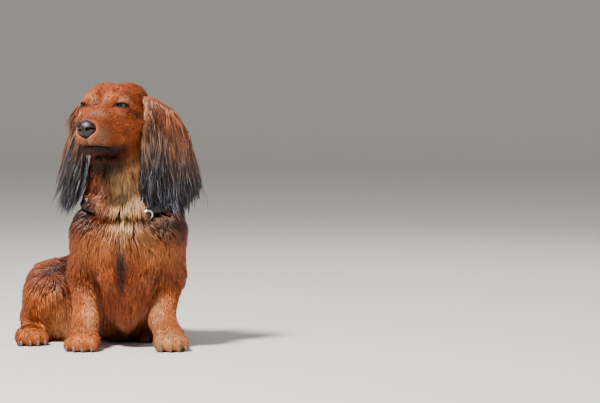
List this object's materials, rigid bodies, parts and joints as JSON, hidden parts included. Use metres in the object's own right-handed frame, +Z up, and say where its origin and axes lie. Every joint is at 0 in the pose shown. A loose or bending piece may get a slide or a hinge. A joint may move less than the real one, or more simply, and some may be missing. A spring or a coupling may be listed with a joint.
{
  "type": "sitting long-haired dachshund model",
  "caption": "Life-size still model of a long-haired dachshund that sits upright with its head turned, long feathered ears, a chest ruff, and a slim collar.",
  "frame": {"origin": "middle of the bounding box at floor level", "axes": "+Z up, the dog's chest faces -Y and the dog's left is +X"},
  "size_m": [0.3078, 0.4942, 0.4172],
  "materials": {
    "coat": "long, silky, mahogany red hair, darker along the back and flank",
    "ears": "long, wavy hair, tan-brown at the top and black with a blue-grey shine below",
    "ruff": "soft fawn and cream-brown hair on the throat and bib, mahogany at the sides",
    "legs": "short, close, pale orange-tan hair with longer feathering behind",
    "nose": "moist black skin with a fine grain",
    "eyes": "very dark brown, wet and glossy",
    "leather": "dark, worn",
    "metal": "bright steel"
  },
  "bodies": {
    "root": {"head": "coat", "neck": "ruff", "forepaw_left": "legs", "hindpaw_left": "legs", "foreleg_left": "legs", "hindleg_left": "coat", "forepaw_right": "legs", "hindpaw_right": "legs", "foreleg_right": "legs", "hindleg_right": "coat", "tail": "coat", "torso": "coat", "eye_left": "eyes", "ear_left": "ears", "eye_right": "eyes", "ear_right": "ears", "nose": "nose", "collar": "leather", "collar_ring": "metal"}
  },
  "joints": []
}
